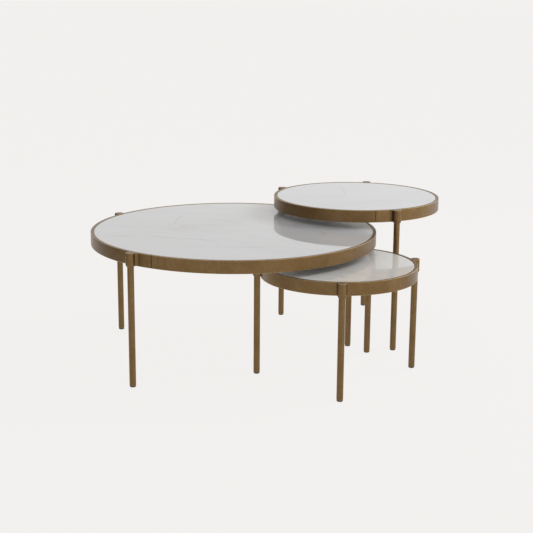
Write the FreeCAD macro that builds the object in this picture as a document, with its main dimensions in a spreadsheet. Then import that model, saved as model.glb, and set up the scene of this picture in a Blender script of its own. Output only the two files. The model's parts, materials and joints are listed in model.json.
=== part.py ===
import FreeCAD, Part
import math
import os

# Set of three round nesting tables: a large low table, a taller small table
# standing over its rim, and a lower small table standing under it. Each has
# a stone disc dropped inside a rolled metal band, on slender round legs that
# hang from collars fixed to the outside of the band.

doc = FreeCAD.newDocument("nesting_tables")
S = doc.addObject("Spreadsheet::Sheet", "params")

PARAMS = [
    # table centres, from the middle of the whole set
    ("large_cx", -117.63), ("large_cy", -49.87),
    ("tall_cx", 289.13), ("tall_cy", 237.82),
    ("small_cx", 204.17), ("small_cy", -275.37),
    # outer radius of the band and height of its top edge
    ("large_rad", 450.0), ("large_top", 405.7),
    ("tall_rad", 278.5), ("tall_top", 464.2),
    ("small_rad", 235.0), ("small_top", 347.7),
    # band
    ("band_height", 39.0), ("band_thick", 10.0), ("band_edge", 0.8), ("seam_gap", 1.4),
    ("large_seam", 239.85), ("tall_seam", 278.8), ("small_seam", 95.0),
    # stone
    ("stone_thick", 12.0), ("stone_drop", 0.5), ("stone_gap", 0.8), ("stone_edge", 0.8),
    # inside supports
    ("pad_thick", 2.0), ("pad_rad", 9.0), ("ledge_thick", 4.0), ("ledge_width", 25.0),
    ("bar_width", 30.0), ("bar_thick", 6.0),
    ("bar_gap", 0.15), ("large_bar", 9.5), ("tall_bar", 30.0), ("small_bar", 40.0),
    ("splice_height", 8.0), ("splice_thick", 3.0), ("splice_half", 30.0),
    # legs and collars
    ("leg_offset", 10.5), ("leg_rad", 9.75), ("leg_wall", 2.0),
    ("collar_rad", 13.2), ("collar_foot_rad", 10.6), ("collar_rise", 0.8), ("collar_drop", 3.0),
    ("collar_taper", 6.0), ("collar_socket", 14.0), ("collar_edge", 0.6),
    ("glide_height", 5.0), ("glide_rad", 9.2), ("glide_stem", 16.0),
    ("large_leg_a", 231.3), ("large_leg_b", 148.9),
    ("tall_leg_a", 149.5), ("tall_leg_b", 78.3), ("tall_leg_c", 292.8),
    ("small_leg_a", 180.0), ("small_leg_b", 268.8), ("small_leg_c", 15.5), ("small_leg_d", 63.5),
    ("inner_leg_r", 379.0), ("inner_flange_rad", 28.0), ("inner_flange_thick", 4.0),
    ("inner_boss", 15.0), ("inner_screw_pitch", 20.5),
    # fasteners
    ("bolt_rad", 3.0), ("bolt_head_rad", 4.75), ("bolt_head", 3.6), ("bolt_reach", 13.0),
    ("bolt_down", 23.8), ("hex_rad", 2.3), ("hex_depth", 2.2), ("seat_gap", 0.06),
    ("screw_rad", 2.0), ("screw_head_rad", 3.6), ("screw_head", 2.6), ("screw_reach", 6.0),
    ("panel_thick", 4.0), ("panel_gap", 7.0), ("panel_hole", 6.6), ("panel_screw_part", 0.45),
    ("rivet_rad", 3.0), ("rivet_head_rad", 6.0), ("rivet_head", 3.0),
]
for i, (name, value) in enumerate(PARAMS, start=1):
    S.set("A%d" % i, name)
    S.set("B%d" % i, repr(value))
    S.setAlias("B%d" % i, name)
doc.recompute()


def v(name):
    return float(S.get(name))


def P(text):
    """Turn {name} into a reference to the sheet."""
    out = text
    for name, _ in PARAMS:
        out = out.replace("{%s}" % name, "params.%s" % name)
    return out


def plane(body, role):
    for f in body.Origin.OriginFeatures:
        if f.Role == role:
            return f
    raise ValueError(role)


def outline(body, role, name, pts):
    """Closed polygon; every corner is (x, y) with text sums or 0."""
    sk = body.newObject("Sketcher::SketchObject", name)
    sk.AttachmentSupport = [(plane(body, role), "")]
    sk.MapMode = "FlatFace"
    env = dict((n, val) for n, val in PARAMS)

    def num(expr):
        if expr == 0:
            return 0.0
        return value_of(expr, env)

    import Sketcher
    xy = [(num(a), num(b)) for a, b in pts]
    n = len(pts)
    for i in range(n):
        a, b = xy[i], xy[(i + 1) % n]
        sk.addGeometry(Part.LineSegment(FreeCAD.Vector(a[0], a[1], 0),
                                        FreeCAD.Vector(b[0], b[1], 0)), False)
    for i in range(n):
        sk.addConstraint(Sketcher.Constraint("Coincident", i, 2, (i + 1) % n, 1))
    for i in range(n):
        ex, ey = pts[i]
        if ex == 0 and ey == 0:
            sk.addConstraint(Sketcher.Constraint("Coincident", i, 1, -1, 1))
            continue
        if ex == 0:
            sk.addConstraint(Sketcher.Constraint("PointOnObject", i, 1, -2))
        else:
            k = sk.addConstraint(Sketcher.Constraint("DistanceX", -1, 1, i, 1, xy[i][0]))
            sk.setExpression("Constraints[%d]" % k, P(ex))
        if ey == 0:
            sk.addConstraint(Sketcher.Constraint("PointOnObject", i, 1, -1))
        else:
            k = sk.addConstraint(Sketcher.Constraint("DistanceY", -1, 1, i, 1, xy[i][1]))
            sk.setExpression("Constraints[%d]" % k, P(ey))
    return sk


def value_of(expr, env):
    """Value of a plain sum of terms; a term is {name}, a number, or a*b."""
    total, sign, token = 0.0, 1.0, ""
    for ch in expr.replace(" ", "") + "+":
        if ch in "+-":
            if token:
                prod = 1.0
                for f in token.split("*"):
                    prod *= env[f[1:-1]] if f.startswith("{") else float(f)
                total += sign * prod
            sign, token = (1.0 if ch == "+" else -1.0), ""
        else:
            token += ch
    return total


def new_body(label):
    body = doc.addObject("PartDesign::Body", label)
    body.Label = label
    return body


def revolve(body, pts, name="profile"):
    sk = outline(body, "XZ_Plane", name, pts)
    rev = body.newObject("PartDesign::Revolution", "revolve")
    rev.Profile = sk
    rev.ReferenceAxis = (sk, ["V_Axis"])
    rev.Angle = 360.0
    sk.Visibility = False
    return rev


NODES = []


def place(obj, cx, cy, cz, angle, tx="0", ty="0"):
    """Local frame turned by angle about +Z, then moved to (cx, cy, cz)."""
    obj.Placement = FreeCAD.Placement(
        FreeCAD.Vector(0, 0, 0), FreeCAD.Rotation(FreeCAD.Vector(0, 0, 1), angle))
    obj.setExpression("Placement.Base.x", P(cx))
    obj.setExpression("Placement.Base.y", P(cy))
    obj.setExpression("Placement.Base.z", P(cz))


def drill(label, base, holes, more=()):
    """Cut straight round holes in base. hole = (radius name, length text, point, direction)."""
    tools = list(more)
    for k, (rad, length, point, direction) in enumerate(holes):
        c = doc.addObject("Part::Cylinder", "%s_hole%d" % (label, k))
        c.setExpression("Radius", P("{%s}" % rad))
        c.setExpression("Height", P(length))
        c.Placement = FreeCAD.Placement(
            FreeCAD.Vector(*point),
            FreeCAD.Rotation(FreeCAD.Vector(0, 0, 1), FreeCAD.Vector(*direction)))
        tools.append(c)
    comp = doc.addObject("Part::Compound", label + "_holes")
    comp.Links = tools
    cut = doc.addObject("Part::Cut", label)
    cut.Base = base
    cut.Tool = comp
    cut.Label = label
    return cut


def lathe(pts):
    wire = Part.makePolygon([FreeCAD.Vector(a, 0, b) for a, b in pts + pts[:1]])
    return Part.Face(wire).revolve(FreeCAD.Vector(0, 0, 0), FreeCAD.Vector(0, 0, 1), 360)


def socket_bolt(shank_r, head_r, head_h, length, hex_r, hex_d):
    """Button-head bolt along +Z: the seat of the head is at z=0, the shank goes up."""
    body = lathe([(0, -head_h), (head_r * 0.62, -head_h), (head_r, -head_h * 0.45), (head_r, 0),
                  (shank_r, 0), (shank_r, length - 0.6), (shank_r - 0.6, length), (0, length)])
    pts = [FreeCAD.Vector(hex_r * math.cos(math.radians(60 * k)),
                          hex_r * math.sin(math.radians(60 * k)), -head_h - 1) for k in range(7)]
    hexa = Part.Face(Part.makePolygon(pts)).extrude(FreeCAD.Vector(0, 0, 1 + hex_d))
    return body.cut(hexa)


def group(label, solids, cx, cy, cz):
    f = doc.addObject("Part::Feature", label)
    f.Shape = Part.makeCompound(solids)
    f.Label = label
    f.setExpression("Placement.Base.x", P(cx))
    f.setExpression("Placement.Base.y", P(cy))
    f.setExpression("Placement.Base.z", P(cz))
    NODES.append(f)
    return f


def turned(shape, point, direction):
    s = shape.copy()
    s.Placement = FreeCAD.Placement(
        FreeCAD.Vector(*point),
        FreeCAD.Rotation(FreeCAD.Vector(0, 0, 1), FreeCAD.Vector(*direction)))
    return s


def pol(r, deg):
    a = math.radians(deg)
    return r * math.cos(a), r * math.sin(a)


def table(t, legs, pads):
    cx, cy = "{%s_cx}" % t, "{%s_cy}" % t
    rad, top = "{%s_rad}" % t, "{%s_top}" % t
    R, H = v(t + "_rad"), v(t + "_top")
    seam, bar = v(t + "_seam"), v(t + "_bar")
    leg_angles = [v("%s_leg_%s" % (t, n)) for n in legs]
    Ri = R - v("band_thick")

    # stone disc
    b = new_body(t + "_stone_top")
    rs = rad + "-{band_thick}-{stone_gap}"
    revolve(b, [(0, 0), (rs, 0), (rs, "{stone_thick}-{stone_edge}"),
                (rs + "-{stone_edge}", "{stone_thick}"), (0, "{stone_thick}")])
    place(b, cx, cy, top + "-{stone_drop}-{stone_thick}", 0)
    NODES.append(b)

    # rolled band with one butt seam and radial holes
    b = new_body(t + "_band_blank")
    ri = rad + "-{band_thick}"
    revolve(b, [(ri, 0), (rad + "-{band_edge}", 0), (rad, "{band_edge}"),
                (rad, "{band_height}-{band_edge}"), (rad + "-{band_edge}", "{band_height}"),
                (ri, "{band_height}")])
    sk = outline(b, "XY_Plane", "seam", [(ri + "-5", 0), (rad + "+5", 0),
                                         (rad + "+5", "{seam_gap}"), (ri + "-5", "{seam_gap}")])
    pk = b.newObject("PartDesign::Pocket", "seam_cut")
    pk.Profile = sk
    pk.Type = 1
    pk.Midplane = True
    sk.Visibility = False
    doc.recompute()
    b.Tip = pk
    holes = []
    bh = v("band_height")
    for a in leg_angles:
        for zz in ("bolt_down",):
            x, y = pol(Ri - 1, a - seam)
            dx, dy = pol(1, a - seam)
            holes.append(("bolt_rad", "{band_thick}+2", (x, y, bh - v(zz)), (dx, dy, 0)))
    zs = bh - (v("stone_drop") + v("stone_thick") + v("pad_thick") + v("ledge_thick")) \
        - 2.0 - v("splice_height") / 2
    for s in (-22.0, -9.0, 10.0, 23.0):
        a = math.degrees(s / Ri)
        x, y = pol(Ri - 1, a)
        dx, dy = pol(1, a)
        holes.append(("screw_rad", "{screw_reach}+1", (x, y, zs), (dx, dy, 0)))
    cut = drill(t + "_band", b, holes)
    place(cut, cx, cy, top + "-{band_height}", seam)
    NODES.append(cut)

    # splice plate across the seam, inside the band
    half = math.degrees(v("splice_half") / Ri)
    mid = math.degrees(0.5 * v("seam_gap") / Ri)
    face = Part.Face(Part.makePolygon([FreeCAD.Vector(a, 0, c) for a, c in
                     [(Ri - v("splice_thick"), 0), (Ri, 0), (Ri, v("splice_height")),
                      (Ri - v("splice_thick"), v("splice_height")), (Ri - v("splice_thick"), 0)]]))
    face.rotate(FreeCAD.Vector(0, 0, 0), FreeCAD.Vector(0, 0, 1), seam + mid - half)
    plate = face.revolve(FreeCAD.Vector(0, 0, 0), FreeCAD.Vector(0, 0, 1), 2 * half)
    screws = []
    one = socket_bolt(v("screw_rad"), v("screw_head_rad"), v("screw_head"),
                      v("screw_reach") + v("splice_thick"), v("hex_rad") * 0.75, v("hex_depth") * 0.7)
    for s in (-22.0, -9.0, 10.0, 23.0):
        a = math.degrees(s / Ri) + seam
        x, y = pol(Ri - v("splice_thick") - v("seat_gap"), a)
        dx, dy = pol(1, a)
        hx, hy = pol(Ri - v("splice_thick") - 1, a)
        plate = plate.cut(Part.makeCylinder(v("screw_rad"), v("splice_thick") + 2,
                          FreeCAD.Vector(hx, hy, v("splice_height") / 2), FreeCAD.Vector(dx, dy, 0)))
        screws.append(turned(one, (x, y, v("splice_height") / 2), (dx, dy, 0)))
    zplate = top + "-{stone_drop}-{stone_thick}-{pad_thick}-{ledge_thick}-2-{splice_height}"
    group(t + "_splice_plate", [plate.Solids[0]], cx, cy, zplate)
    group(t + "_splice_screws", screws, cx, cy, zplate)

    # ledge ring that carries the stone
    b = new_body(t + "_ledge_ring")
    revolve(b, [(ri + "-{ledge_width}", 0), (ri, 0), (ri, "{ledge_thick}"),
                (ri + "-{ledge_width}", "{ledge_thick}")])
    place(b, cx, cy, top + "-{stone_drop}-{stone_thick}-{pad_thick}-{ledge_thick}", 0)
    NODES.append(b)

    # cushion pads between ledge and stone
    pad_list = []
    rp = Ri - v("ledge_width") / 2
    for k in range(pads):
        x, y = pol(rp, 360.0 * k / pads + 12.0)
        p = lathe([(0, 0), (v("pad_rad"), 0), (v("pad_rad"), v("pad_thick")), (0, v("pad_thick"))])
        p.translate(FreeCAD.Vector(x, y, 0))
        pad_list.append(p)
    group(t + "_cushion_pads", pad_list, cx, cy, top + "-{stone_drop}-{stone_thick}-{pad_thick}")

    # two crossing bars, half-lapped in the middle
    hl = math.sqrt(Ri ** 2 - (v("bar_width") / 2) ** 2) - v("bar_gap")
    w = v("bar_width")
    zbar = top + "-{stone_drop}-{stone_thick}-{pad_thick}-{ledge_thick}-{bar_thick}"
    for n, (label, extra) in enumerate((("_cross_bar_a", 0.0), ("_cross_bar_b", 90.0))):
        b = new_body(t + label + ("_blank"))
        sk = outline(b, "XZ_Plane", "side", [
            (0, 0), ("%r" % (2 * hl), 0), ("%r" % (2 * hl), "{bar_thick}"), (0, "{bar_thick}")])
        pad = b.newObject("PartDesign::Pad", "bar")
        pad.Profile = sk
        pad.setExpression("Length", "params.bar_width")
        pad.Midplane = True
        sk.Visibility = False
        mid0 = "%r-0.5*{bar_width}" % hl
        mid1 = "%r+0.5*{bar_width}" % hl
        if n == 0:
            zz = ("0.5*{bar_thick}", "{bar_thick}+3")
        else:
            zz = (0, "0.5*{bar_thick}")
        lap = outline(b, "XZ_Plane", "lap", [(mid0, zz[0]), (mid1, zz[0]), (mid1, zz[1]), (mid0, zz[1])])
        pk = b.newObject("PartDesign::Pocket", "lap_cut")
        pk.Profile = lap
        pk.Type = 1
        pk.Midplane = True
        lap.Visibility = False
        doc.recompute()
        b.Tip = pk
        hs = [("rivet_rad", "{bar_thick}+2", (hl, 0, -1), (0, 0, 1))]
        for s in (-1, 1):
            hs.append(("screw_rad", "{bar_thick}+2",
                       (hl + s * v("panel_screw_part") * hl, 0, -1), (0, 0, 1)))
        if t == "large" and n == 0:
            for s in (-1, 1):
                hs.append(("screw_rad", "{bar_thick}+2",
                           (hl + v("inner_leg_r") + s * v("inner_screw_pitch"), 0, -1), (0, 0, 1)))
        cut = drill(t + label, b, hs)
        ox, oy = pol(hl, bar + extra)
        place(cut, cx + "-(%r)" % ox, cy + "-(%r)" % oy, zbar, bar + extra)
        NODES.append(cut)

    # rivet through the crossing
    rr, rh, bt = v("rivet_rad"), v("rivet_head"), v("bar_thick")
    hr = v("rivet_head_rad")
    riv = lathe([(0, -rh), (hr * 0.55, -rh), (hr * 0.9, -rh * 0.5), (hr, 0), (rr, 0), (rr, bt),
                 (hr, bt), (hr * 0.9, bt + rh * 0.5), (hr * 0.55, bt + rh), (0, bt + rh)])
    group(t + "_cross_rivet", [riv], cx, cy, zbar)

    # pale board closing the underside, screwed up into the bars
    b = new_body(t + "_under_panel_blank")
    rp = rad + "-{band_thick}-{panel_gap}"
    revolve(b, [("{panel_hole}", 0), (rp, 0), (rp, "{panel_thick}"), ("{panel_hole}", "{panel_thick}")])
    hs, spots = [], []
    for extra in (0.0, 90.0):
        for s in (-1, 1):
            x, y = pol(s * v("panel_screw_part") * hl, bar + extra)
            hs.append(("screw_rad", "{panel_thick}+2", (x, y, -1), (0, 0, 1)))
            spots.append((x, y))
    more = []
    if t == "large":
        x, y = pol(v("inner_leg_r"), bar)
        room = doc.addObject("Part::Cylinder", "large_panel_notch")
        room.setExpression("Radius", P("{inner_flange_rad}+0.6"))
        room.setExpression("Height", P("{panel_thick}+2"))
        room.Placement.Base = FreeCAD.Vector(x, y, -1)
        more.append(room)
    cut = drill(t + "_under_panel", b, hs, more)
    place(cut, cx, cy, zbar + "-{panel_thick}", 0)
    NODES.append(cut)
    ps = socket_bolt(v("screw_rad"), v("screw_head_rad"), v("screw_head"),
                     v("panel_thick") + v("bar_thick"), v("hex_rad") * 0.75, v("hex_depth") * 0.7)
    group(t + "_panel_screws", [turned(ps, (x, y, 0), (0, 0, 1)) for x, y in spots],
          cx, cy, zbar + "-{panel_thick}")

    # collars, legs, bolts, glides
    bolts, glides = [], []
    one = socket_bolt(v("bolt_rad"), v("bolt_head_rad"), v("bolt_head"),
                      v("band_thick") + v("bolt_reach"), v("hex_rad"), v("hex_depth"))
    g = lathe([(0, 0), (v("glide_rad") - 1.6, 0), (v("glide_rad"), 1.6), (v("glide_rad"), v("glide_height")),
               (v("leg_rad") - v("leg_wall"), v("glide_height")),
               (v("leg_rad") - v("leg_wall"), v("glide_height") + v("glide_stem")),
               (0, v("glide_height") + v("glide_stem"))])
    ch = v("band_height") + v("collar_rise") + v("collar_drop")
    total = "{band_height}+{collar_rise}+{collar_drop}"
    for n, a in zip(legs, leg_angles):
        la = "params.%s_leg_%s * 1 deg" % (t, n)
        lx = cx + "+(" + rad + "+{leg_offset})*cos(" + la + ")"
        ly = cy + "+(" + rad + "+{leg_offset})*sin(" + la + ")"
        b = new_body("%s_collar_%s_blank" % (t, n))
        revolve(b, [("{leg_rad}", 0), ("{collar_foot_rad}", 0), ("{collar_rad}", "{collar_taper}"),
                    ("{collar_rad}", total + "-{collar_edge}"), ("{collar_rad}-{collar_edge}", total),
                    (0, total), (0, "{collar_socket}"), ("{leg_rad}", "{collar_socket}")])
        # the collar is coped to sit over the outer face of the band
        cope = doc.addObject("Part::Cylinder", "%s_cope_%s" % (t, n))
        cope.setExpression("Radius", P(rad))
        cope.setExpression("Height", P("{band_height}+{collar_drop}+1"))
        cope.setExpression("Placement.Base.x", P(rad + "+{leg_offset}"))
        cope.Placement.Base.z = -1
        cope.setExpression("Placement.Base.z", "-1")
        hs = []
        for zz in ("bolt_down",):
            hs.append(("bolt_rad", "{bolt_reach}+1",
                       (v("leg_offset") + 1, 0, ch - v("collar_rise") - v(zz)), (-1, 0, 0)))
        cut = drill("%s_collar_%s" % (t, n), b, hs, [cope])
        place(cut, lx, ly, top + "-{band_height}-{collar_drop}", a + 180.0)
        NODES.append(cut)

        b = new_body("%s_leg_%s" % (t, n))
        ll = top + "-{band_height}-{collar_drop}+{collar_socket}-{glide_height}"
        revolve(b, [("{leg_rad}-{leg_wall}", 0), ("{leg_rad}", 0), ("{leg_rad}", ll),
                    ("{leg_rad}-{leg_wall}", ll)])
        place(b, lx, ly, "{glide_height}", 0)
        NODES.append(b)

        for zz in ("bolt_down",):
            x, y = pol(Ri - v("seat_gap"), a)
            dx, dy = pol(1, a)
            bolts.append(turned(one, (x, y, H - v(zz)), (dx, dy, 0)))
        x, y = pol(R + v("leg_offset"), a)
        gg = g.copy()
        gg.translate(FreeCAD.Vector(x, y, 0))
        glides.append(gg)

    if t == "large":
        # the third leg stands inboard, under one bar, on a flanged socket
        x, y = pol(v("inner_leg_r"), bar)
        ix, iy = cx + "+(%r)" % x, cy + "+(%r)" % y
        b = new_body("large_inner_socket_blank")
        it = "{inner_boss}+{inner_flange_thick}"
        revolve(b, [("{leg_rad}", 0), ("{collar_rad}", 0), ("{collar_rad}", "{inner_boss}"),
                    ("{inner_flange_rad}", "{inner_boss}"), ("{inner_flange_rad}", it), (0, it),
                    (0, "{inner_boss}"), ("{leg_rad}", "{inner_boss}")])
        doc.recompute()
        hs = []
        for s in (-1, 1):
            hs.append(("screw_rad", "{inner_flange_thick}+2",
                       (s * v("inner_screw_pitch"), 0, v("inner_boss") - 1), (0, 0, 1)))
        cut = drill("large_inner_socket", b, hs)
        place(cut, ix, iy, zbar + "-{inner_flange_thick}-{inner_boss}", bar)
        NODES.append(cut)
        b = new_body("large_leg_c")
        ll = top + "-{stone_drop}-{stone_thick}-{pad_thick}-{ledge_thick}-{bar_thick}" \
            "-{inner_flange_thick}-{glide_height}"
        revolve(b, [("{leg_rad}-{leg_wall}", 0), ("{leg_rad}", 0), ("{leg_rad}", ll),
                    ("{leg_rad}-{leg_wall}", ll)])
        place(b, ix, iy, "{glide_height}", 0)
        NODES.append(b)
        gg = g.copy()
        gg.translate(FreeCAD.Vector(x, y, 0))
        glides.append(gg)
        sc = socket_bolt(v("screw_rad"), v("screw_head_rad"), v("screw_head"),
                         v("inner_flange_thick") + v("bar_thick"),
                         v("hex_rad") * 0.75, v("hex_depth") * 0.7)
        sl = []
        for s in (-1, 1):
            px, py = pol(v("inner_leg_r") + s * v("inner_screw_pitch"), bar)
            sl.append(turned(sc, (px, py, 0), (0, 0, 1)))
        group("large_socket_screws", sl, cx, cy, zbar + "-{inner_flange_thick}")

    group(t + "_collar_bolts", bolts, cx, cy, "0")
    group(t + "_foot_glides", glides, cx, cy, "0")


table("large", "ab", 10)
table("tall", "abc", 6)
table("small", "abcd", 6)
doc.recompute()

bad = []
for o in doc.Objects:
    if "Invalid" in o.State or "Error" in o.State:
        bad.append((o.Name, o.State))
for o in NODES:
    if o.Shape.isNull() or not o.Shape.isValid() or len(o.Shape.Solids) < 1:
        bad.append((o.Label, "shape"))
if bad:
    raise RuntimeError("not sound: %r" % bad)

os.makedirs("parts", exist_ok=True)
for o in NODES:
    o.Shape.exportStep("parts/%s.step" % o.Label)
box = FreeCAD.BoundBox()
for o in NODES:
    box.add(o.Shape.BoundBox)
print(len(NODES), "nodes", box)
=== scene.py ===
import bpy, bmesh, json, math
from mathutils import Vector, Matrix

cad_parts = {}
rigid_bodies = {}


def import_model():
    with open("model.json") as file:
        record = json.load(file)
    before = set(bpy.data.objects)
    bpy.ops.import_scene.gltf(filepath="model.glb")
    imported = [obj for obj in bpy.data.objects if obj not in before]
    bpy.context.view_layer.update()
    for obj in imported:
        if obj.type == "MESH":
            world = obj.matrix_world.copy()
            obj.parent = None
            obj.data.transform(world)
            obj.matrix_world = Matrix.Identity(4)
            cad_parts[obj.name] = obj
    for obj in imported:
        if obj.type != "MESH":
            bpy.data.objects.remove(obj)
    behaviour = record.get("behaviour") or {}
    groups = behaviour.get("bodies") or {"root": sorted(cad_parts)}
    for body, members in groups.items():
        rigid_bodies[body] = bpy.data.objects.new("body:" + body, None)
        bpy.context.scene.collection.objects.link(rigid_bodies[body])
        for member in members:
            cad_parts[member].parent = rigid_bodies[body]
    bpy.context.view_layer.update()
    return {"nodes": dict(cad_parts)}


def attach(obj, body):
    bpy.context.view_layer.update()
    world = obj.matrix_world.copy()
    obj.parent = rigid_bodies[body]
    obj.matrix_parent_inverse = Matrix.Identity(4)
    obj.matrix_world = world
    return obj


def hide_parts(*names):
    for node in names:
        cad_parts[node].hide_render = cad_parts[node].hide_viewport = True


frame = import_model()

MM = 0.001
NODES = frame["nodes"]
scene = bpy.context.scene
scene.view_settings.view_transform = "Standard"
scene.view_settings.look = "None"
scene.view_settings.exposure = 0.0
scene.view_settings.gamma = 1.0

# ---------------------------------------------------------------- sizes (mm)
TABLES = {
    "large": dict(c=(-117.63, -49.87), R=450.0, top=405.7, seam=239.85,
                  legs={"a": 231.3, "b": 148.9}),
    "tall": dict(c=(289.13, 237.82), R=278.5, top=464.2, seam=278.8,
                 legs={"a": 149.5, "b": 78.3, "c": 292.8}),
    "small": dict(c=(204.17, -275.37), R=235.0, top=347.7, seam=95.0,
                  legs={"a": 180.0, "b": 268.8, "c": 15.5, "d": 63.5}),
}
BAND_H, BAND_T, OFF, LEG_R, SEAM = 39.0, 10.0, 10.5, 9.75, 1.4
COL_R, COL_FOOT, RISE, DROP, TAPER, SOCKET = 13.2, 10.6, 0.8, 3.0, 6.0, 14.0
FILLET = 9.0


def srgb(r, g, b):
    def f(c):
        c /= 255.0
        return c / 12.92 if c <= 0.04045 else ((c + 0.055) / 1.055) ** 2.4
    return (f(r), f(g), f(b), 1.0)


# ---------------------------------------------------------------- node helpers
class Mat:
    def __init__(self, name):
        self.m = bpy.data.materials.new(name)
        self.m.use_nodes = True
        self.t = self.m.node_tree
        self.t.nodes.clear()
        self.out = self.t.nodes.new("ShaderNodeOutputMaterial")
        self.b = self.t.nodes.new("ShaderNodeBsdfPrincipled")
        self.t.links.new(self.b.outputs[0], self.out.inputs[0])

    def n(self, kind, **kw):
        node = self.t.nodes.new("ShaderNode" + kind)
        for k, val in kw.items():
            setattr(node, k, val)
        return node

    def link(self, a, b):
        self.t.links.new(a, b)

    def math(self, op, a, b=None, c=None, clamp=False):
        nd = self.n("Math", operation=op)
        nd.use_clamp = clamp
        for i, x in enumerate((a, b, c)):
            if x is None:
                continue
            if isinstance(x, (int, float)):
                nd.inputs[i].default_value = x
            else:
                self.link(x, nd.inputs[i])
        return nd.outputs[0]

    def obj(self):
        return self.n("TexCoord").outputs["Object"]

    def scaled(self, vec, s, loc=(0, 0, 0), rot=(0, 0, 0)):
        mp = self.n("Mapping")
        self.link(vec, mp.inputs["Vector"])
        mp.inputs["Scale"].default_value = s
        mp.inputs["Location"].default_value = loc
        mp.inputs["Rotation"].default_value = rot
        return mp.outputs[0]

    def noise(self, vec, scale, detail=3.0, rough=0.5, dist=0.0):
        nd = self.n("TexNoise")
        self.link(vec, nd.inputs["Vector"])
        nd.inputs["Scale"].default_value = scale
        nd.inputs["Detail"].default_value = detail
        nd.inputs["Roughness"].default_value = rough
        nd.inputs["Distortion"].default_value = dist
        return nd.outputs["Fac"]

    def ramp(self, fac, stops, interp="LINEAR"):
        nd = self.n("ValToRGB")
        nd.color_ramp.interpolation = interp
        el = nd.color_ramp.elements
        while len(el) < len(stops):
            el.new(0.5)
        for e, (p, c) in zip(el, stops):
            e.position = p
            e.color = c if isinstance(c, tuple) else (c, c, c, 1.0)
        self.link(fac, nd.inputs[0])
        return nd.outputs[0]

    def mix(self, fac, a, b, blend="MIX"):
        nd = self.n("Mix", data_type="RGBA", blend_type=blend)
        for sock, x in ((nd.inputs["Factor"], fac), (nd.inputs[6], a), (nd.inputs[7], b)):
            if isinstance(x, (int, float, tuple)):
                sock.default_value = x
            else:
                self.link(x, sock)
        return nd.outputs[2]

    def bump(self, height, strength, dist):
        nd = self.n("Bump")
        nd.inputs["Strength"].default_value = strength
        nd.inputs["Distance"].default_value = dist
        self.link(height, nd.inputs["Height"])
        return nd.outputs[0]


def ring_coords(M):
    """(arc along the ring, height, radius) in metres from object coordinates."""
    sep = M.n("SeparateXYZ")
    M.link(M.obj(), sep.inputs[0])
    x, y, z = sep.outputs
    ang = M.math("ARCTAN2", y, x)
    rad = M.math("SQRT", M.math("ADD", M.math("MULTIPLY", x, x), M.math("MULTIPLY", y, y)))
    cmb = M.n("CombineXYZ")
    M.link(M.math("MULTIPLY", ang, 0.35), cmb.inputs[0])
    M.link(z, cmb.inputs[1])
    M.link(rad, cmb.inputs[2])
    return cmb.outputs[0], z


BRONZE_DARK = (0.118, 0.068, 0.026, 1)
BRONZE = (0.178, 0.108, 0.044, 1)
BRONZE_LIGHT = (0.262, 0.176, 0.088, 1)


def bronze(name, grain, ring=True, shade=1.0):
    """Satin antique bronze: cloudy patina, fine drawn grain, lighter worn edges."""
    M = Mat(name)
    if ring:
        vec, _ = ring_coords(M)
    else:
        vec = M.obj()
    fine = M.noise(M.scaled(vec, grain), 1.0, 4.0, 0.6)
    cloud = M.noise(M.obj(), 14.0, 4.0, 0.55, 0.4)
    blotch = M.noise(M.obj(), 95.0, 4.0, 0.6)
    f = M.math("ADD", M.math("MULTIPLY", fine, 0.16), M.math("MULTIPLY", cloud, 0.44))
    f = M.math("ADD", f, M.math("MULTIPLY", blotch, 0.40))

    def sh(c):
        return (c[0] * shade, c[1] * shade, c[2] * shade, 1)
    col = M.ramp(f, [(0.16, sh(BRONZE_DARK)), (0.5, sh(BRONZE)), (0.86, sh(BRONZE_LIGHT))])
    at = M.n("Attribute", attribute_name="wear")
    chips = M.noise(M.obj(), 320.0, 3.0, 0.65)
    w = M.math("MULTIPLY", at.outputs["Fac"], M.ramp(chips, [(0.35, 0.15), (0.6, 1.0)]), clamp=True)
    col = M.mix(w, col, (0.40, 0.29, 0.16, 1))
    M.link(col, M.b.inputs["Base Color"])
    M.b.inputs["Metallic"].default_value = 1.0
    r = M.math("MULTIPLY_ADD", fine, 0.07, 0.30)
    r = M.math("MULTIPLY_ADD", cloud, 0.10, r)
    r = M.math("SUBTRACT", r, M.math("MULTIPLY", w, 0.08))
    M.link(r, M.b.inputs["Roughness"])
    peel = M.noise(M.obj(), 900.0, 2.0, 0.5)
    h = M.math("ADD", M.math("MULTIPLY", fine, 0.3), M.math("MULTIPLY", peel, 0.7))
    M.link(M.bump(h, 0.10, 0.0003), M.b.inputs["Normal"])
    M.b.inputs["Coat Weight"].default_value = 0.12
    M.b.inputs["Coat Roughness"].default_value = 0.22
    return M.m


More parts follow.
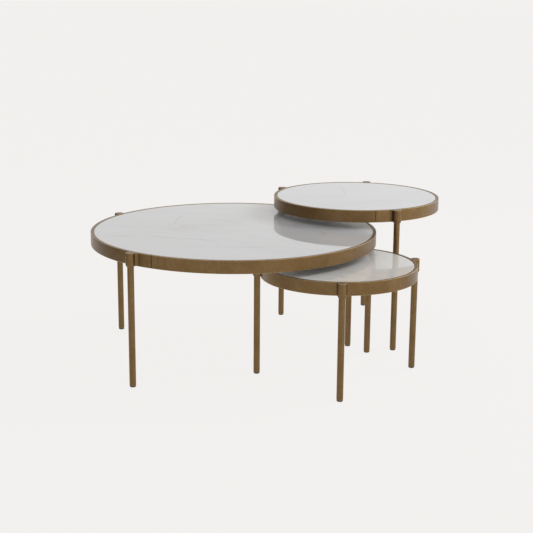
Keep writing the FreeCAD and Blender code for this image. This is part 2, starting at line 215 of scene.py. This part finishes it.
def marble(name, base, seed, turn, vein_dark, drawn=()):
    """Polished pale stone: cloudy ground, thin broken veins, faint crystals, and a painted highlight on the rounded
    arris.
    """
    M = Mat(name)
    v = M.scaled(M.obj(), (1, 1, 1), seed, (0, 0, math.radians(turn)))
    warp = M.n("TexNoise")
    M.link(v, warp.inputs["Vector"])
    warp.inputs["Scale"].default_value = 3.2
    warp.inputs["Detail"].default_value = 4.0
    off = M.n("VectorMath", operation="MULTIPLY_ADD")
    M.link(warp.outputs["Color"], off.inputs[0])
    off.inputs[1].default_value = (0.22, 0.10, 0.10)
    M.link(v, off.inputs[2])
    wv = off.outputs[0]

    def vein(field, level, width, core):
        """Thin line where a smooth field crosses a level."""
        d = M.math("ABSOLUTE", M.math("SUBTRACT", field, level))
        return M.ramp(d, [(0.0, 1.0), (width * core, 0.75), (width, 0.0)])
    f1 = M.noise(M.scaled(wv, (0.42, 1.55, 1)), 2.3, 4.0, 0.42, 0.5)
    f2 = M.noise(M.scaled(wv, (0.50, 1.75, 1), (5.1, 2.2, 0)), 4.1, 5.0, 0.46, 0.6)
    f3 = M.noise(M.scaled(wv, (0.7, 1.6, 1), (1.7, 8.4, 0)), 8.5, 5.0, 0.5, 0.5)
    g1 = M.ramp(M.noise(v, 2.2, 2.0), [(0.36, 0.12), (0.58, 1.0)])
    g2 = M.ramp(M.noise(M.scaled(v, (1, 1, 1), (3, 7, 0)), 3.6, 2.0), [(0.44, 0.0), (0.60, 1.0)])
    g3 = M.ramp(M.noise(M.scaled(v, (1, 1, 1), (9, 2, 0)), 5.0, 2.0), [(0.50, 0.0), (0.66, 1.0)])
    a = M.math("MULTIPLY", M.math("MAXIMUM", vein(f1, 0.50, 0.0085, 0.4),
                                  M.math("MULTIPLY", vein(f1, 0.415, 0.0075, 0.4), 0.8)), g1)
    b = M.math("MULTIPLY", M.math("MAXIMUM", vein(f2, 0.52, 0.0095, 0.35), vein(f2, 0.42, 0.0075, 0.35)), g2)
    c = M.math("MULTIPLY", vein(f3, 0.5, 0.013, 0.3), g3)
    # a soft halo stains the stone beside the strongest veins
    halo = M.math("MULTIPLY", vein(f1, 0.50, 0.05, 0.5), g1)
    veins = M.math("ADD", M.math("MULTIPLY", a, 0.20),
                   M.math("ADD", M.math("MULTIPLY", b, 0.15), M.math("MULTIPLY", c, 0.14)), clamp=True)
    sep = M.n("SeparateXYZ")
    M.link(M.obj(), sep.inputs[0])
    wob = M.math("MULTIPLY_ADD", M.noise(M.obj(), 9.0, 3.0, 0.5), 0.030, -0.015)
    wob = M.math("ADD", wob, M.math("MULTIPLY_ADD", M.noise(M.obj(), 52.0, 4.0, 0.6), 0.010, -0.005))
    breadth = M.math("MULTIPLY_ADD", M.noise(M.scaled(M.obj(), (1, 1, 1), (4, 4, 0)), 24.0, 3.0, 0.6), 3.2, -0.6)
    for swap, width, strength, line in drawn:
        u, w = (sep.outputs[1], sep.outputs[0]) if swap else (sep.outputs[0], sep.outputs[1])
        line = sorted(line)
        fc = M.n("FloatCurve")
        cv = fc.mapping.curves[0]
        knots = [(x / 1000.0 + 0.5, y / 1000.0 + 0.5) for x, y in line]
        cv.points[0].location = knots[0]
        cv.points[1].location = knots[-1]
        for x, y in knots[1:-1]:
            cv.points.new(x, y)
        fc.mapping.update()
        u01 = M.math("ADD", u, 0.5)
        M.link(u01, fc.inputs["Value"])
        d = M.math("ADD", M.math("SUBTRACT", M.math("ADD", w, 0.5), fc.outputs[0]), wob)
        q = M.math("DIVIDE", M.math("ABSOLUTE", d), M.math("MULTIPLY", M.math("MAXIMUM", breadth, 0.35), width * 1.7 * MM))
        q = M.ramp(q, [(0.0, 1.0), (0.45, 0.75), (1.0, 0.0)])
        u0, u1 = knots[0][0], knots[-1][0]
        e = min(0.05, (u1 - u0) * 0.3)
        ends = M.ramp(u01, [(u0, 0.0), (u0 + e, 1.0), (u1 - e, 1.0), (u1, 0.0)])
        veins = M.math("MAXIMUM", veins, M.math("MULTIPLY", M.math("MULTIPLY", q, ends), min(1.0, strength * 1.7)))
    veins = M.math("MULTIPLY", veins, M.math("MULTIPLY_ADD", M.noise(M.obj(), 46.0, 3.0, 0.6), 0.9, 0.5), clamp=True)
    cloud = M.noise(M.scaled(wv, (0.8, 1.9, 1)), 3.4, 5.0, 0.6, 0.3)
    lo = tuple(x * 0.945 for x in base) + (1,)
    hi = tuple(min(1, x * 1.04) for x in base) + (1,)
    ground = M.ramp(cloud, [(0.3, lo), (0.5, base + (1,)), (0.72, hi)])
    haze = M.ramp(M.noise(M.scaled(wv, (0.5, 2.6, 1)), 2.2, 3.0, 0.5), [(0.52, 0.0), (0.75, 0.22)])
    ground = M.mix(haze, ground, (base[0] * 0.84, base[1] * 0.85, base[2] * 0.87, 1))
    ground = M.mix(M.math("MULTIPLY", halo, 0.10), ground, (base[0] * 0.80, base[1] * 0.79, base[2] * 0.78, 1))
    grain = M.noise(M.obj(), 700.0, 2.0, 0.6)
    ground = M.mix(M.math("MULTIPLY", grain, 0.10), ground, (base[0] * 0.82, base[1] * 0.82, base[2] * 0.82, 1))
    # the rounded arris is mixed halfway to pale grey: a painted highlight of the polished edge
    at = M.n("Attribute", attribute_name="wear")
    col = M.mix(veins, ground, vein_dark)
    col = M.mix(M.math("MULTIPLY", at.outputs["Fac"], 0.5), col, (0.80, 0.80, 0.79, 1))
    M.link(col, M.b.inputs["Base Color"])
    smear = M.noise(M.obj(), 7.0, 4.0, 0.6, 0.8)
    r = M.math("MULTIPLY_ADD", smear, 0.03, 0.02)
    r = M.math("MULTIPLY_ADD", veins, 0.03, r)
    # the underside is sawn, not polished
    geo = M.n("NewGeometry")
    sep = M.n("SeparateXYZ")
    M.link(geo.outputs["Normal"], sep.inputs[0])
    under = M.math("LESS_THAN", sep.outputs[2], -0.5)
    r = M.math("MULTIPLY_ADD", under, 0.55, r)
    M.link(r, M.b.inputs["Roughness"])
    M.b.inputs["IOR"].default_value = 1.52
    M.b.inputs["Subsurface Weight"].default_value = 0.0
    saw = M.noise(M.scaled(M.obj(), (30, 900, 1)), 1.0, 2.0)
    h = M.math("MULTIPLY", saw, under)
    h = M.math("ADD", h, M.math("MULTIPLY", M.noise(M.obj(), 18.0, 2.0), 0.02))
    M.link(M.bump(h, 0.12, 0.0006), M.b.inputs["Normal"])
    return M.m


def paint(name):
    M = Mat(name)
    cloud = M.noise(M.obj(), 22.0, 4.0, 0.6, 0.5)
    fleck = M.noise(M.obj(), 420.0, 3.0, 0.6)
    f = M.math("ADD", M.math("MULTIPLY", cloud, 0.7), M.math("MULTIPLY", fleck, 0.3))
    M.link(M.ramp(f, [(0.3, (0.050, 0.034, 0.020, 1)), (0.55, (0.082, 0.056, 0.032, 1)),
                      (0.75, (0.115, 0.080, 0.046, 1))]), M.b.inputs["Base Color"])
    M.b.inputs["Metallic"].default_value = 0.55
    M.link(M.math("MULTIPLY_ADD", fleck, 0.22, 0.42), M.b.inputs["Roughness"])
    peel = M.noise(M.obj(), 650.0, 3.0, 0.55)
    M.link(M.bump(peel, 0.25, 0.0003), M.b.inputs["Normal"])
    return M.m


def zinc(name):
    M = Mat(name)
    sp = M.n("TexVoronoi")
    M.link(M.obj(), sp.inputs["Vector"])
    sp.inputs["Scale"].default_value = 600.0
    n = M.noise(M.obj(), 240.0, 4.0, 0.6)
    f = M.math("ADD", M.math("MULTIPLY", sp.outputs["Distance"], 0.4), M.math("MULTIPLY", n, 0.6))
    M.link(M.ramp(f, [(0.2, (0.34, 0.34, 0.33, 1)), (0.6, (0.58, 0.58, 0.56, 1)),
                      (0.85, (0.68, 0.66, 0.60, 1))]), M.b.inputs["Base Color"])
    M.b.inputs["Metallic"].default_value = 1.0
    M.link(M.math("MULTIPLY_ADD", n, 0.25, 0.22), M.b.inputs["Roughness"])
    M.link(M.bump(n, 0.15, 0.0002), M.b.inputs["Normal"])
    return M.m


def soft(name, lo, hi, rough, bumpy):
    M = Mat(name)
    n = M.noise(M.obj(), 380.0, 4.0, 0.6)
    big = M.noise(M.obj(), 60.0, 3.0, 0.5)
    f = M.math("ADD", M.math("MULTIPLY", n, 0.5), M.math("MULTIPLY", big, 0.5))
    M.link(M.ramp(f, [(0.3, lo), (0.7, hi)]), M.b.inputs["Base Color"])
    M.link(M.math("MULTIPLY_ADD", n, 0.2, rough), M.b.inputs["Roughness"])
    M.link(M.bump(n, bumpy, 0.0003), M.b.inputs["Normal"])
    return M.m


MB_BAND = bronze("bronze_rolled_band", (6.0, 900.0, 120.0), True)
MB_TUBE = bronze("bronze_drawn_tube", (1400.0, 1400.0, 5.0), False)
MB_COLLAR = bronze("bronze_turned_collar", (500.0, 500.0, 1500.0), False)
# the veins that can be made out, drawn on each disc: (run along y, width in mm,
# strength, points in mm from the disc's centre)
DRAWN = {
    "large": [
        (False, 1.3, 0.62, [(-407, -127), (-360, -130), (-239, -128), (-200, -143), (-156, -156),
                            (-107, -168), (-76, -184), (-51, -208), (-32, -230)]),
        (False, 1.0, 0.34, [(-78, -255), (-7, -264), (70, -272), (112, -258), (135, -215), (154, -182),
                            (206, -151), (260, -160)]),
        (False, 1.0, 0.34, [(-179, 149), (-138, 129), (-85, 125), (6, 129), (90, 112)]),
        (True, 1.2, 0.36, [(236, -158), (200, -180), (114, -193), (48, -204), (0, -222)]),
        (False, 1.2, 0.34, [(-337, -22), (-261, -15), (-226, -2)]),
        (False, 1.2, 0.30, [(-308, 248), (-276, 268), (-211, 306), (-111, 362), (-69, 368)]),
    ],
    "tall": [
        (True, 1.5, 0.42, [(8, -44), (60, -32), (95, -30), (130, -36), (159, -38), (213, -28)]),
        (False, 1.1, 0.26, [(-96, 128), (-66, 98), (-33, 90), (10, 112), (52, 118)]),
        (False, 1.0, 0.18, [(60, -92), (120, -70), (170, -78), (215, -52)]),
    ],
    "small": [
        (False, 1.1, 0.30, [(-160, -62), (-80, -104), (10, -92), (92, -120), (150, -96)]),
        (False, 1.0, 0.22, [(30, 60), (80, 42), (140, 66), (190, 58)]),
    ],
}
M_STONE = {
    "large": marble("stone_large", (0.470, 0.478, 0.492), (0.0, 0.0, 0.0), 8, (0.235, 0.222, 0.208, 1), DRAWN["large"]),
    "tall": marble("stone_tall", (0.488, 0.505, 0.532), (4.3, 1.7, 0.0), -14, (0.26, 0.25, 0.24, 1), DRAWN["tall"]),
    "small": marble("stone_small", (0.580, 0.582, 0.570), (8.1, 5.2, 0.0), 21, (0.28, 0.27, 0.25, 1), DRAWN["small"]),
}
M_FRAME = paint("underframe_paint")
M_ZINC = zinc("zinc_plate")
def board(name):
    """Cream sealed board: faint long fibres under the sealer, small specks."""
    M = Mat(name)
    v = M.scaled(M.obj(), (2.2, 34.0, 4.0), (0.3, 0.1, 0), (0, 0, 0.35))
    g = M.noise(v, 1.0, 5.0, 0.6, 0.6)
    fl = M.noise(M.scaled(M.obj(), (40.0, 420.0, 40.0), (0, 0, 0), (0, 0, 0.35)), 1.0, 3.0, 0.6)
    f = M.math("ADD", M.math("MULTIPLY", g, 0.7), M.math("MULTIPLY", fl, 0.3))
    col = M.ramp(f, [(0.28, (0.74, 0.71, 0.66, 1)), (0.5, (0.80, 0.78, 0.74, 1)),
                     (0.74, (0.84, 0.83, 0.80, 1))])
    speck = M.ramp(M.noise(M.obj(), 260.0, 2.0, 0.7), [(0.70, 0.0), (0.78, 0.5)])
    M.link(M.mix(speck, col, (0.55, 0.50, 0.43, 1)), M.b.inputs["Base Color"])
    M.link(M.math("MULTIPLY_ADD", fl, 0.2, 0.42), M.b.inputs["Roughness"])
    M.link(M.bump(f, 0.12, 0.0004), M.b.inputs["Normal"])
    return M.m


M_BOARD = board("sealed_board")
M_GLIDE = soft("glide_nylon", (0.050, 0.031, 0.015, 1), (0.078, 0.049, 0.024, 1), 0.38, 0.2)
M_PAD = soft("cushion_pad", (0.55, 0.55, 0.53, 1), (0.68, 0.68, 0.66, 1), 0.45, 0.1)


# ---------------------------------------------------------------- mesh helpers
def round_profile(pts, radii, seg=4):
    """pts (r, z) of an open or closed outline; each corner is rounded by its radius.
    Returns (r, z, mark) with mark 1 on the rounded corners: worn edges on the bronze, a painted highlight on the
    stone's arris."""
    out = []
    n = len(pts)
    for i in range(n):
        p = Vector(pts[i])
        rad = radii[i]
        if rad <= 0:
            out.append((p.x, p.y, 0.0))
            continue
        a, b = Vector(pts[i - 1]), Vector(pts[(i + 1) % n])
        da, db = (a - p), (b - p)
        la, lb = da.length, db.length
        da.normalize(); db.normalize()
        ang = da.angle(db)
        t = min(rad / math.tan(ang / 2), la * 0.49, lb * 0.49)
        rr = t * math.tan(ang / 2)
        centre = p + (da + db).normalized() * (rr / math.sin(ang / 2))
        s, e = p + da * t, p + db * t
        out.append((*(s + da * min(t * 0.35, la * 0.01)), 0.0))
        for k in range(seg + 1):
            q = s.lerp(e, k / seg)
            q = centre + (q - centre).normalized() * rr
            out.append((q.x, q.y, 1.0))
        out.append((*(e + db * min(t * 0.35, lb * 0.01)), 0.0))
    return out


def finish_mesh(me, bm, mat, wear_and_highlight_layer=True):
    bmesh.ops.recalc_face_normals(bm, faces=bm.faces)
    bm.to_mesh(me)
    bm.free()
    me.materials.append(mat)
    for p in me.polygons:
        p.use_smooth = True
    me.set_sharp_from_angle(angle=math.radians(38))


def new_obj(name, me, loc, body):
    ob = bpy.data.objects.new(name, me)
    scene.collection.objects.link(ob)
    ob.location = loc
    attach(ob, body)
    return ob


# per-vertex mark on rounded corners: edge wear on the bronze, a painted highlight on the stone
def wear_and_highlight_attr(bm):
    return bm.verts.layers.float.new("wear")


def lathe(name, prof, mat, loc, body, segs=128, start=0.0, sweep=360.0, closed=True, extra=None):
    """Turned shape from (r, z, mark) points in mm; the mark is edge wear on bronze and a painted highlight on stone."""
    bm = bmesh.new()
    wl = wear_and_highlight_attr(bm)
    full = abs(sweep - 360.0) < 1e-6
    count = segs if full else segs + 1
    rings = []
    for k in range(count):
        a = math.radians(start + sweep * k / segs)
        ca, sa = math.cos(a), math.sin(a)
        ring = []
        for (r, z, w) in prof:
            v = bm.verts.new((r * ca * MM, r * sa * MM, z * MM))
            v[wl] = w
            ring.append(v)
        rings.append(ring)
    n = len(prof)
    span = n if closed else n - 1
    for k in range(segs):
        A, B = rings[k], rings[(k + 1) % count]
        for i in range(span):
            j = (i + 1) % n
            bm.faces.new((A[i], B[i], B[j], A[j]))
    if not full:
        bm.faces.new(rings[0])
        bm.faces.new(list(reversed(rings[-1])))
    bmesh.ops.remove_doubles(bm, verts=bm.verts, dist=1e-7)
    if extra:
        extra(bm, wl)
    me = bpy.data.meshes.new(name)
    finish_mesh(me, bm, mat)
    return new_obj(name, me, loc, body)


def axis_close(prof):
    return [(max(r, 0.0), z, w) for r, z, w in prof]


# ---------------------------------------------------------------- the tables
for t, T in TABLES.items():
    body = t + "_table"
    cx, cy = T["c"]
    R, H = T["R"], T["top"]
    centre = (cx * MM, cy * MM, 0.0)
    Ri = R - BAND_T
    segs = 720 if t == "large" else 512

    # stone: polished face, softened arris, sawn back
    rs = Ri - 0.8
    z0, z1 = H - 12.5, H - 0.5
    pts = [(0, z0), (rs, z0), (rs, z1), (0, z1)]
    prof = round_profile(pts, [0, 0.5, 1.0, 0], 5)
    prof = [(0.0, z0, 0.0), (rs * 0.5, z0, 0.0)] + [p for p in prof[1:-1]] + \
           [(rs - 2.5, z1, 0.0), (rs * 0.5, z1, 0.0), (0.0, z1, 0.0)]
    st = lathe(t + "_stone_disc", axis_close(prof), M_STONE[t], centre, body,
               segs=segs, closed=False)
    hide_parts(t + "_stone_top")

    # rolled band: flat bar on edge, eased corners, one butt seam
    zb = H - BAND_H
    pts = [(Ri, zb), (R, zb), (R, H), (Ri, H)]
    prof = round_profile(pts, [0.6, 1.1, 1.1, 0.7], 4)
    gap = math.degrees((SEAM + (0.7 if t == "large" else 0.0)) / R)
    # the bar's ends are eased a little, so the seam reads as a line
    bd = lathe(t + "_rolled_band", prof, MB_BAND, centre, body,
               segs=segs, start=T["seam"] + gap, sweep=360.0 - gap)
    bev = bd.modifiers.new("ease", "BEVEL")
    bev.width = 0.0005
    bev.segments = 2
    bev.limit_method = "ANGLE"
    bev.angle_limit = math.radians(60)
    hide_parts(t + "_band")

    # legs and collars; the glides stay as CAD parts
    spots = [(n, a, R + OFF, True) for n, a in T["legs"].items()]
    if t == "large":
        spots.append(("c", 9.5, 379.0, False))
    for n, a, rad, outer in spots:
        ar = math.radians(a)
        lx, ly = cx + rad * math.cos(ar), cy + rad * math.sin(ar)
        loc = (lx * MM, ly * MM, 0.0)
        ltop = H - BAND_H - DROP + SOCKET if outer else H - 28.5
        wall = LEG_R - 2.0
        pts = [(wall, 5.0), (LEG_R, 5.0), (LEG_R, ltop), (wall, ltop)]
        prof = round_profile(pts, [0.3, 0.7, 0.0, 0.0], 3)
        lg = lathe("%s_leg_tube_%s" % (t, n), prof, MB_TUBE, loc, body, segs=64)
        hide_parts("%s_leg_%s" % (t, n))
        if not outer:
            continue
        # collar: turned cup with closed top, tapering into the leg
        zlow, zhigh = H - BAND_H - DROP, H + RISE
        cr = COL_R + {"large": 0.9, "tall": 0.8, "small": 0.0}[t]
        pts = [(LEG_R + 0.02, zlow), (COL_FOOT, zlow), (cr, zlow + TAPER), (cr, zhigh), (0, zhigh),
               (0, zlow + SOCKET), (LEG_R + 0.02, zlow + SOCKET)]
        prof = round_profile(pts, [0.0, 0.35, 3.2, 0.9, 0.0, 0.0, 0.0], 5)
        prof = [(r, z, (w if z > zhigh - 3 else 0.25 * w)) for r, z, w in prof]

        def saddle(bm, wl, a=a, H=H, R=R, cr=cr, prof=prof):
            """Sleeve round the cup that runs into the band in a smooth hollow on both sides."""
            inward = math.radians(a + 180.0)
            ux, uy = math.cos(inward), math.sin(inward)
            D = OFF + R
            low, high = H - BAND_H + 0.15, H - 0.35
            side = sorted((z, r) for r, z, w in prof if r > LEG_R + 0.1)

            def cup_r(z):
                best = cr
                for (za, ra), (zb_, rb) in zip(side, side[1:]):
                    if za <= z <= zb_ and zb_ - za > 1e-6 and abs(z - za) + abs(zb_ - z) > 0:
                        best = ra + (rb - ra) * (z - za) / (zb_ - za)
                return min(best, cr)

            def plan(rc, rf):
                x = ((rc + rf) ** 2 - (R + rf) ** 2 + D * D) / (2 * D)
                y = math.sqrt(max((rc + rf) ** 2 - x * x, 0.01))
                k = rc / (rc + rf)
                t1 = (x * k, y * k)
                m = R / (R + rf)
                t2 = (D + (x - D) * m, y * m)
                a1 = math.atan2(t1[1] - y, t1[0] - x)
                a2 = math.atan2(t2[1] - y, t2[0] - x)
                while a2 - a1 > math.pi:
                    a2 -= 2 * math.pi
                while a2 - a1 < -math.pi:
                    a2 += 2 * math.pi
                half = [(t2[0] + 1.1, t2[1] - 0.2), (t2[0] + 0.3, t2[1] + 0.0)]
                for i in range(13):
                    q = a2 + (a1 - a2) * i / 12.0
                    half.append((x + rf * math.cos(q), y + rf * math.sin(q)))
                b1 = math.atan2(t1[1], t1[0])
                arc = []
                for i in range(1, 32):
                    q = b1 + (2 * math.pi - 2 * b1) * i / 32.0
                    arc.append((rc * math.cos(q), rc * math.sin(q)))
                return half + arc + [(px, -py) for px, py in reversed(half)]
            rows = []
            for i in range(6):
                q = math.pi / 2 * i / 5.0
                rows.append((low + 2.2 * (1 - math.cos(q)), 0.30 + 0.70 * math.sin(q)))
            for z in (H - 35.5, H - 34.0, H - 31.0, H - 22.0, H - 12.0, H - 4.0):
                rows.append((z, 1.0))
            for i in range(5):
                q = math.pi / 2 * i / 4.0
                rows.append((high - 1.0 + 1.0 * math.sin(q), 1.0 - 0.22 * (1 - math.cos(q))))
            lev = []
            for z, g in rows:
                ring = []
                for (x, y) in plan(cup_r(z) + 0.06, FILLET * g):
                    vert = bm.verts.new(((ux * x - uy * y) * MM, (uy * x + ux * y) * MM, z * MM))
                    vert[wl] = 0.35 if z > high - 0.9 else 0.0
                    ring.append(vert)
                lev.append(ring)
            m = len(lev[0])
            for A, B in zip(lev, lev[1:]):
                for i in range(m):
                    j = (i + 1) % m
                    bm.faces.new((A[i], A[j], B[j], B[i]))
            bm.faces.new(lev[0])
            bm.faces.new(lev[-1])
        co = lathe("%s_collar_cup_%s" % (t, n), prof, MB_COLLAR, loc, body, segs=96,
                   closed=True, extra=saddle)
        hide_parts("%s_collar_%s" % (t, n))

    # weld stitches between ledge ring and band, underneath
    bm = bmesh.new()
    wl = wear_and_highlight_attr(bm)
    zl = H - 18.5
    step = {"large": 16, "tall": 10, "small": 8}[t]
    for k in range(step):
        a0 = 360.0 * k / step + 5.0
        if min(abs((a0 - s + 180) % 360 - 180) for s in
               list(T["legs"].values()) + [T["seam"]]) < 8:
            a0 += 11.0
        length = math.degrees(24.0 / Ri)
        m = 14
        prev = None
        for q in range(m + 1):
            a = math.radians(a0 + length * q / m)
            lump = 1.0 + 0.16 * math.sin(q * 2.4 + k)
            size = (1.9 if 0 < q < m else 0.7) * lump
            ring = []
            for e in range(6):
                ph = math.pi * 0.5 * e / 5
                rr = Ri - 0.05 - size * (1 - math.sin(ph)) * 1.0
                zz = zl - size * (1 - math.cos(ph)) * 1.0
                ring.append(bm.verts.new((rr * math.cos(a) * MM, rr * math.sin(a) * MM, zz * MM)))
            corner = bm.verts.new(((Ri - 0.05) * math.cos(a) * MM, (Ri - 0.05) * math.sin(a) * MM, zl * MM))
            ring.append(corner)
            if prev:
                for i in range(7):
                    j = (i + 1) % 7
                    bm.faces.new((prev[i], prev[j], ring[j], ring[i]))
            else:
                bm.faces.new(ring)
            prev = ring
        bm.faces.new(list(reversed(prev)))
    me = bpy.data.meshes.new(t + "_weld_stitches")
    finish_mesh(me, bm, M_FRAME)
    new_obj(t + "_weld_stitches", me, centre, body)

# ---------------------------------------------------------------- CAD nodes that stay
for name, ob in NODES.items():
    if ob.hide_render:
        continue
    if any(s in name for s in ("bolts", "screws", "rivet")):
        m = M_ZINC
    elif "glides" in name:
        m = M_GLIDE
    elif "cushion" in name:
        m = M_PAD
    elif "under_panel" in name:
        m = M_BOARD
    else:
        m = M_FRAME
    ob.data.materials.clear()
    ob.data.materials.append(m)
    for p in ob.data.polygons:
        p.use_smooth = True
    ob.data.set_sharp_from_angle(angle=math.radians(32))

# ---------------------------------------------------------------- floor, light, camera
WALL = srgb(243, 241, 239)
world = bpy.data.worlds.new("studio")
scene.world = world
world.use_nodes = True
bg = world.node_tree.nodes["Background"]
bg.inputs["Color"].default_value = WALL
bg.inputs["Strength"].default_value = 1.0

FM = bpy.data.materials.new("pale_floor")
FM.use_nodes = True
ft = FM.node_tree
ft.nodes.clear()
fo = ft.nodes.new("ShaderNodeOutputMaterial")
em = ft.nodes.new("ShaderNodeEmission")
em.inputs["Color"].default_value = WALL
em.inputs["Strength"].default_value = 0.958
df = ft.nodes.new("ShaderNodeBsdfDiffuse")
df.inputs["Color"].default_value = (0.035, 0.035, 0.035, 1)
ad = ft.nodes.new("ShaderNodeAddShader")
ft.links.new(em.outputs[0], ad.inputs[0])
ft.links.new(df.outputs[0], ad.inputs[1])
ft.links.new(ad.outputs[0], fo.inputs[0])
bm = bmesh.new()
bmesh.ops.create_circle(bm, cap_ends=True, segments=96, radius=60.0)
me = bpy.data.meshes.new("floor")
bm.to_mesh(me)
bm.free()
me.materials.append(FM)
floor = bpy.data.objects.new("floor", me)
floor.location = (0, 0, -0.0002)
scene.collection.objects.link(floor)


def area(name, loc, target, size, power, color=(1, 1, 1)):
    li = bpy.data.lights.new(name, "AREA")
    li.shape = "RECTANGLE"
    li.size, li.size_y = size
    li.energy = power
    li.color = color
    ob = bpy.data.objects.new(name, li)
    ob.location = loc
    d = Vector(target) - Vector(loc)
    ob.rotation_euler = d.to_track_quat("-Z", "Y").to_euler()
    ob.visible_camera = False
    scene.collection.objects.link(ob)
    return ob


soft_light = area("right_soft", (3.0, 0.75, 2.3), (0.1, 0.1, 0.35), (1.3, 1.3), 54.0)
soft_light.visible_glossy = False
# these two rake the metal only, so the polished stone does not mirror them
metal_only = bpy.data.collections.new("metal_only")
for o in bpy.data.objects:
    if o.type == "MESH" and any(k in o.name for k in ("rolled_band", "leg_tube", "collar_cup")):
        metal_only.objects.link(o)
for li in (area("low_right", (3.3, 0.6, 1.1), (0.0, 0.0, 0.3), (4.4, 2.2), 38.0),
           area("front_right", (2.6, -2.6, 0.9), (0.2, 0.0, 0.35), (2.2, 1.6), 14.0)):
    li.light_linking.receiver_collection = metal_only

# a grey card on the left takes the light down on that side, as in a studio
CM = bpy.data.materials.new("grey_card")
CM.use_nodes = True
ct = CM.node_tree
ct.nodes.clear()
co_ = ct.nodes.new("ShaderNodeOutputMaterial")
ce = ct.nodes.new("ShaderNodeEmission")
ce.inputs["Color"].default_value = (0.24, 0.23, 0.22, 1)
ce.inputs["Strength"].default_value = 1.0
# its edge fades out, so the stone never mirrors a hard line
cc = ct.nodes.new("ShaderNodeTexCoord")
cg = ct.nodes.new("ShaderNodeTexGradient")
cg.gradient_type = "SPHERICAL"
cr_ = ct.nodes.new("ShaderNodeValToRGB")
cr_.color_ramp.interpolation = "EASE"
cr_.color_ramp.elements[0].position = 0.0
cr_.color_ramp.elements[1].position = 0.62
cx_ = ct.nodes.new("ShaderNodeMixShader")
ctr = ct.nodes.new("ShaderNodeBsdfTransparent")
ct.links.new(cc.outputs["Object"], cg.inputs[0])
ct.links.new(cg.outputs["Fac"], cr_.inputs[0])
ct.links.new(cr_.outputs[0], cx_.inputs[0])
ct.links.new(ctr.outputs[0], cx_.inputs[1])
ct.links.new(ce.outputs[0], cx_.inputs[2])
ct.links.new(cx_.outputs[0], co_.inputs[0])
bm = bmesh.new()
bmesh.ops.create_grid(bm, x_segments=1, y_segments=1, size=1.0)
me = bpy.data.meshes.new("grey_card")
bm.to_mesh(me)
bm.free()
me.materials.append(CM)
card = bpy.data.objects.new("grey_card", me)
card.scale = (1.35, 2.3, 1.0)
card.location = (-1.75, 0.1, 0.75)
card.rotation_euler = (Vector((0, 0, 0.4)) - Vector(card.location)).to_track_quat("Z", "X").to_euler()
card.visible_camera = False
card.visible_shadow = False
card.visible_diffuse = False
scene.collection.objects.link(card)

cam_data = bpy.data.cameras.new("camera")
cam = bpy.data.objects.new("camera", cam_data)
scene.collection.objects.link(cam)
cam_data.sensor_fit = "AUTO"
cam_data.sensor_width = 36.0
cam_data.lens = 1172.9 / 533.0 * 36.0
cam_data.clip_start = 0.05
cam_data.clip_end = 200.0
cam_data.dof.use_dof = False
cam.rotation_mode = "QUATERNION"
rot = Matrix.Rotation(math.radians(90.0 - 13.494), 4, "X") @ Matrix.Rotation(math.radians(0.422), 4, "Z")
cam.location = (-0.01336, -3.69712, 1.1572)
cam.rotation_quaternion = rot.to_quaternion()
scene.camera = cam

bpy.context.view_layer.update()
